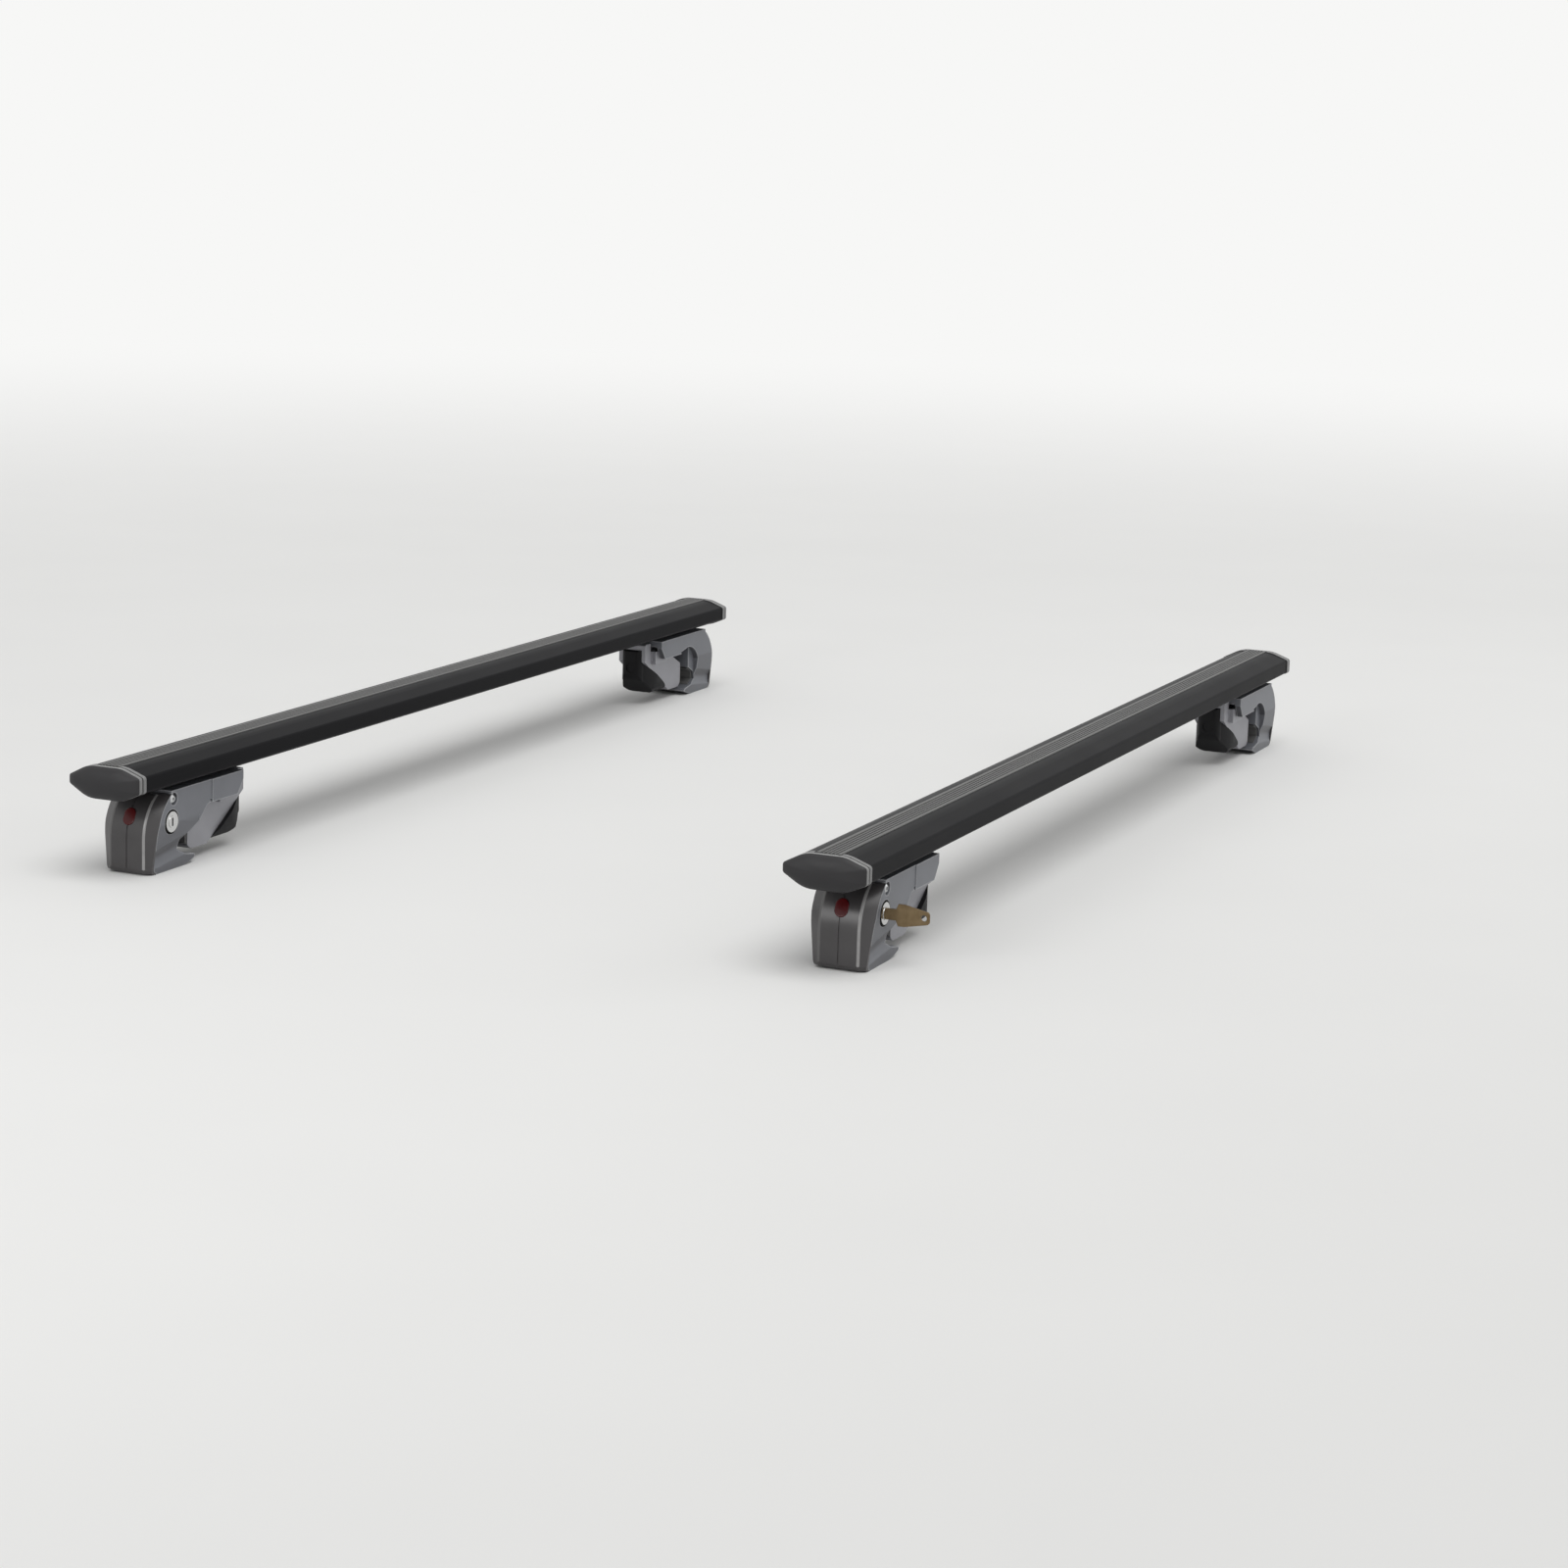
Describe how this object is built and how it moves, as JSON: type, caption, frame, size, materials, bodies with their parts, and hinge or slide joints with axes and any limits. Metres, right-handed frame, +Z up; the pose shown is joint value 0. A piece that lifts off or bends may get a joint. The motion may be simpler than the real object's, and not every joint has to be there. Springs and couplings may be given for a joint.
{
  "type": "roof cross bars",
  "caption": "Pair of wing-shaped roof cross bars on locking clamp feet, with end caps, ribbed top strips, sliding jaws and a key in one lock.",
  "frame": {"origin": "on the plane the feet stand on, midway between the bars and midway along them", "axes": "+X along the bars to the right, +Y the direction of travel, +Z up"},
  "size_m": [1.271, 0.8064, 0.1053],
  "materials": {
    "bar_coat": "satin black powder coat",
    "cap": "matte",
    "rubber": "matte",
    "foot_grey": "satin paint",
    "cover_grey": "satin",
    "marker_red": "gloss",
    "lock_metal": "polished",
    "steel": "zinc plated",
    "jaw_cast": "cast",
    "key_brass": "satin"
  },
  "bodies": {
    "bars": {"front_bar": "bar_coat", "front_strip": "rubber", "front_infill": "rubber", "front_left_cap": "cap", "front_right_cap": "cap", "rear_bar": "bar_coat", "rear_strip": "rubber", "rear_infill": "rubber", "rear_left_cap": "cap", "rear_right_cap": "cap"},
    "front_left_foot": {"front_left_housing": "foot_grey", "front_left_hook_pad": "rubber", "front_left_lock_barrel": "lock_metal", "front_left_screws": "steel", "front_left_channel_nut": "steel"},
    "front_left_cover": {"front_left_outer_cover": "cover_grey", "front_left_marker": "marker_red"},
    "front_left_lock": {"front_left_lock_plug": "lock_metal"},
    "front_left_jaw": {"front_left_jaw": "jaw_cast", "front_left_jaw_cover": "cap", "front_left_jaw_pad": "rubber"},
    "front_left_bolt": {"front_left_clamp_bolt": "steel"},
    "front_right_foot": {"front_right_housing": "foot_grey", "front_right_hook_pad": "rubber", "front_right_lock_barrel": "lock_metal", "front_right_screws": "steel", "front_right_channel_nut": "steel"},
    "front_right_cover": {"front_right_outer_cover": "cover_grey", "front_right_marker": "marker_red"},
    "front_right_lock": {"front_right_lock_plug": "lock_metal"},
    "front_right_jaw": {"front_right_jaw": "jaw_cast", "front_right_jaw_cover": "cap", "front_right_jaw_pad": "rubber"},
    "front_right_bolt": {"front_right_clamp_bolt": "steel"},
    "rear_left_foot": {"rear_left_housing": "foot_grey", "rear_left_hook_pad": "rubber", "rear_left_lock_barrel": "lock_metal", "rear_left_screws": "steel", "rear_left_channel_nut": "steel"},
    "rear_left_cover": {"rear_left_outer_cover": "cover_grey", "rear_left_marker": "marker_red"},
    "rear_left_lock": {"rear_left_lock_plug": "lock_metal", "key": "key_brass"},
    "rear_left_jaw": {"rear_left_jaw": "jaw_cast", "rear_left_jaw_cover": "cap", "rear_left_jaw_pad": "rubber"},
    "rear_left_bolt": {"rear_left_clamp_bolt": "steel"},
    "rear_right_foot": {"rear_right_housing": "foot_grey", "rear_right_hook_pad": "rubber", "rear_right_lock_barrel": "lock_metal", "rear_right_screws": "steel", "rear_right_channel_nut": "steel"},
    "rear_right_cover": {"rear_right_outer_cover": "cover_grey", "rear_right_marker": "marker_red"},
    "rear_right_lock": {"rear_right_lock_plug": "lock_metal"},
    "rear_right_jaw": {"rear_right_jaw": "jaw_cast", "rear_right_jaw_cover": "cap", "rear_right_jaw_pad": "rubber"},
    "rear_right_bolt": {"rear_right_clamp_bolt": "steel"}
  },
  "joints": [
    {"name": "front_left_foot_slide", "type": "slide", "parent": "bars", "child": "front_left_foot", "axis": [1, 0, 0], "range_m": [-0.025, 0.12]},
    {"name": "front_left_cover_pull", "type": "slide", "parent": "front_left_foot", "child": "front_left_cover", "axis": [-1, 0, 0], "range_m": [0, 0.06]},
    {"name": "front_left_lock_turn", "type": "hinge", "parent": "front_left_foot", "child": "front_left_lock", "pos_m": [-0.565, 0.35, 0.0465], "axis": [0, 1, 0], "range_deg": [0, 90]},
    {"name": "front_left_jaw_slide", "type": "slide", "parent": "front_left_foot", "child": "front_left_jaw", "axis": [1, 0, 0], "range_m": [-0.004, 0.02]},
    {"name": "front_left_bolt_turn", "type": "hinge", "parent": "front_left_foot", "child": "front_left_bolt", "pos_m": [-0.563, 0.35, 0.055], "axis": [1, 0, 0], "range_deg": [-5762, 1154]},
    {"name": "front_right_foot_slide", "type": "slide", "parent": "bars", "child": "front_right_foot", "axis": [-1, 0, 0], "range_m": [-0.003, 0.12]},
    {"name": "front_right_cover_pull", "type": "slide", "parent": "front_right_foot", "child": "front_right_cover", "axis": [1, 0, 0], "range_m": [0, 0.06]},
    {"name": "front_right_lock_turn", "type": "hinge", "parent": "front_right_foot", "child": "front_right_lock", "pos_m": [0.589, 0.35, 0.0465], "axis": [0, -1, 0], "range_deg": [0, 90]},
    {"name": "front_right_jaw_slide", "type": "slide", "parent": "front_right_foot", "child": "front_right_jaw", "axis": [-1, 0, 0], "range_m": [-0.004, 0.02]},
    {"name": "front_right_bolt_turn", "type": "hinge", "parent": "front_right_foot", "child": "front_right_bolt", "pos_m": [0.587, 0.35, 0.055], "axis": [-1, 0, 0], "range_deg": [-5762, 1154]},
    {"name": "rear_left_foot_slide", "type": "slide", "parent": "bars", "child": "rear_left_foot", "axis": [1, 0, 0], "range_m": [-0.025, 0.12]},
    {"name": "rear_left_cover_pull", "type": "slide", "parent": "rear_left_foot", "child": "rear_left_cover", "axis": [-1, 0, 0], "range_m": [0, 0.06]},
    {"name": "rear_left_lock_turn", "type": "hinge", "parent": "rear_left_foot", "child": "rear_left_lock", "pos_m": [-0.565, -0.35, 0.0465], "axis": [0, 1, 0], "range_deg": [0, 90]},
    {"name": "rear_left_jaw_slide", "type": "slide", "parent": "rear_left_foot", "child": "rear_left_jaw", "axis": [1, 0, 0], "range_m": [-0.004, 0.02]},
    {"name": "rear_left_bolt_turn", "type": "hinge", "parent": "rear_left_foot", "child": "rear_left_bolt", "pos_m": [-0.563, -0.35, 0.055], "axis": [1, 0, 0], "range_deg": [-5762, 1154]},
    {"name": "rear_right_foot_slide", "type": "slide", "parent": "bars", "child": "rear_right_foot", "axis": [-1, 0, 0], "range_m": [-0.003, 0.12]},
    {"name": "rear_right_cover_pull", "type": "slide", "parent": "rear_right_foot", "child": "rear_right_cover", "axis": [1, 0, 0], "range_m": [0, 0.06]},
    {"name": "rear_right_lock_turn", "type": "hinge", "parent": "rear_right_foot", "child": "rear_right_lock", "pos_m": [0.589, -0.35, 0.0465], "axis": [0, -1, 0], "range_deg": [0, 90]},
    {"name": "rear_right_jaw_slide", "type": "slide", "parent": "rear_right_foot", "child": "rear_right_jaw", "axis": [-1, 0, 0], "range_m": [-0.004, 0.02]},
    {"name": "rear_right_bolt_turn", "type": "hinge", "parent": "rear_right_foot", "child": "rear_right_bolt", "pos_m": [0.587, -0.35, 0.055], "axis": [-1, 0, 0], "range_deg": [-5762, 1154]}
  ],
  "couplings": [
    {"joint": "front_left_bolt_turn", "follows": "front_left_jaw_slide", "rad_per_m": -5026.5},
    {"joint": "front_right_bolt_turn", "follows": "front_right_jaw_slide", "rad_per_m": -5026.5},
    {"joint": "rear_left_bolt_turn", "follows": "rear_left_jaw_slide", "rad_per_m": -5026.5},
    {"joint": "rear_right_bolt_turn", "follows": "rear_right_jaw_slide", "rad_per_m": -5026.5}
  ]
}
